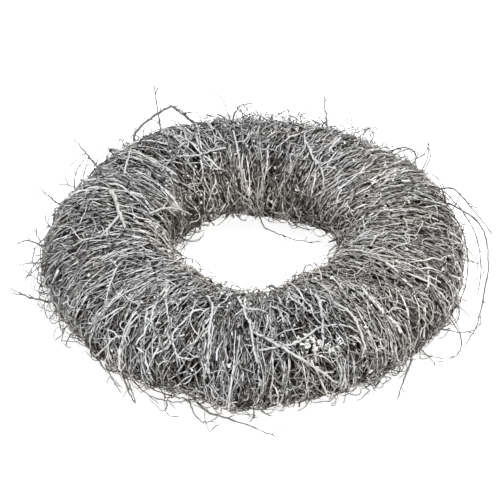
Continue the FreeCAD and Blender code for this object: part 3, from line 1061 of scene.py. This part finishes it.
def build_core(material):
    span = 360.0 / CORE_SECTORS
    for index in range(CORE_SECTORS):
        rng = np.random.default_rng([SEED, CORE_SEED + index])
        mesh = TwigMesh()
        for inset_mm in CORE_INSETS_MM:
            core_sticks(mesh, rng, index * span, span, inset_mm)
        piece = mesh.build("sticks_core_%d" % (index + 1), material)
        finish_piece(piece, "core_bundle_%d" % (index + 1))


def build_single_twigs(material):
    for index, (node, (root, tip, stations)) in enumerate(SINGLE_TWIGS.items()):
        rng = np.random.default_rng([SEED, SINGLE_SEED + index])
        mesh = TwigMesh()
        snug = node.startswith("surface")
        tone, white = (SURFACE_TONE, SNUG_WHITE) if snug else (LOOSE_TONE, STRAY_WHITE)
        twig_through(mesh, rng, root, tip, stations, tone, white, False)
        for fork_root, fork_stations in FORKS.get(node, ()):
            fork_tip = fork_root * MARKED_TIP
            twig_through(mesh, rng, fork_root, fork_tip, fork_stations, tone, white, False)
        piece = mesh.build("twig_" + node, material)
        finish_piece(piece, node)


def dress_wires():
    zinc = wire_material("galvanised_wire", ZINC_LIGHT, ZINC_DARK, metallic=0.9, roughness=0.35)
    annealed = wire_material("annealed_wire", OXIDE_LIGHT, OXIDE_DARK, metallic=0.7, roughness=0.45)
    for node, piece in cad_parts.items():
        if node.startswith(("hoop_", "cross_bar_")):
            piece.data.materials.clear()
            piece.data.materials.append(zinc)
        elif node == "binding_wire_loops":
            piece.data.materials.clear()
            piece.data.materials.append(annealed)


# ---- camera, light and table -----------------------------------------------------
CAMERA_ELEVATION_DEG = 38.3
CAMERA_DISTANCE = 1.823
CAMERA_LENS_MM = 138.8
CAMERA_SENSOR_MM = 36.0
CAMERA_TARGET = Vector((-0.0033, 0.0, 0.0433))
TABLE_GLOW = 0.88
SWEEP_SIDES = 64
# the table's rim curves up into a low pale wall: radius, height
SWEEP_PROFILE = ((3.2, 0.0), (3.6, 0.05), (3.85, 0.2), (3.95, 0.45), (4.0, 0.9))
SKY_STRENGTH = 0.13
# square lamps that face the wreath: name, place, size, power
LAMPS = (
    ("key", (0.1, -0.45, 1.8), 0.40, 41.0),
    ("back", (0.9, 0.9, 1.4), 0.6, 8.0),
)
LAMP_TARGET = Vector((0, 0, CENTRE_HEIGHT_MM * MM))


def build_camera():
    data = bpy.data.cameras.new("camera")
    data.lens = CAMERA_LENS_MM
    data.sensor_width = CAMERA_SENSOR_MM
    camera = add_object("camera", data)
    tilt = math.radians(CAMERA_ELEVATION_DEG)
    back = Vector((0, -math.cos(tilt), math.sin(tilt)))
    camera.location = CAMERA_TARGET + back * CAMERA_DISTANCE
    camera.rotation_euler = (math.radians(90 - CAMERA_ELEVATION_DEG), 0, 0)
    bpy.context.scene.camera = camera


def area_light(name, place, size, power):
    data = bpy.data.lights.new(name, "AREA")
    data.shape = "SQUARE"
    data.size = size
    data.energy = power
    light = add_object(name, data)
    light.location = place
    aim = LAMP_TARGET - Vector(place)
    light.rotation_euler = aim.to_track_quat("-Z", "Y").to_euler()


def build_table():
    """A round pale table whose rim curves up into a low wall, as the frame's stage."""
    turn = 2 * math.pi * np.arange(SWEEP_SIDES) / SWEEP_SIDES
    rims = [np.stack([r * np.cos(turn), r * np.sin(turn), 0 * turn + z], -1) for r, z in SWEEP_PROFILE]
    corners = np.concatenate(rims)
    faces = [tuple(range(SWEEP_SIDES))]
    for rim in range(len(SWEEP_PROFILE) - 1):
        for side in range(SWEEP_SIDES):
            near = rim * SWEEP_SIDES + side
            near_next = rim * SWEEP_SIDES + (side + 1) % SWEEP_SIDES
            faces.append((near, near + SWEEP_SIDES, near_next + SWEEP_SIDES, near_next))
    mesh = bpy.data.meshes.new("table_sweep")
    mesh.from_pydata(corners.tolist(), [], faces)
    mesh.materials.append(table_material("pale_table"))
    table = add_object("table_sweep", mesh)


def build_light():
    world = bpy.data.worlds.new("studio")
    world.use_nodes = True
    background = world.node_tree.nodes["Background"]
    background.inputs["Color"].default_value = (1, 1, 1, 1)
    background.inputs["Strength"].default_value = SKY_STRENGTH
    bpy.context.scene.world = world
    for lamp in LAMPS:
        area_light(*lamp)
    bpy.context.scene.view_settings.view_transform = "Standard"


twig_paint = twig_material("whitewashed_twig", 0.0)
core_paint = twig_material("bare_stick", CORE_COVER)
build_wraps(twig_paint)
build_core(core_paint)
build_single_twigs(twig_paint)
dress_wires()
build_camera()
build_table()
build_light()
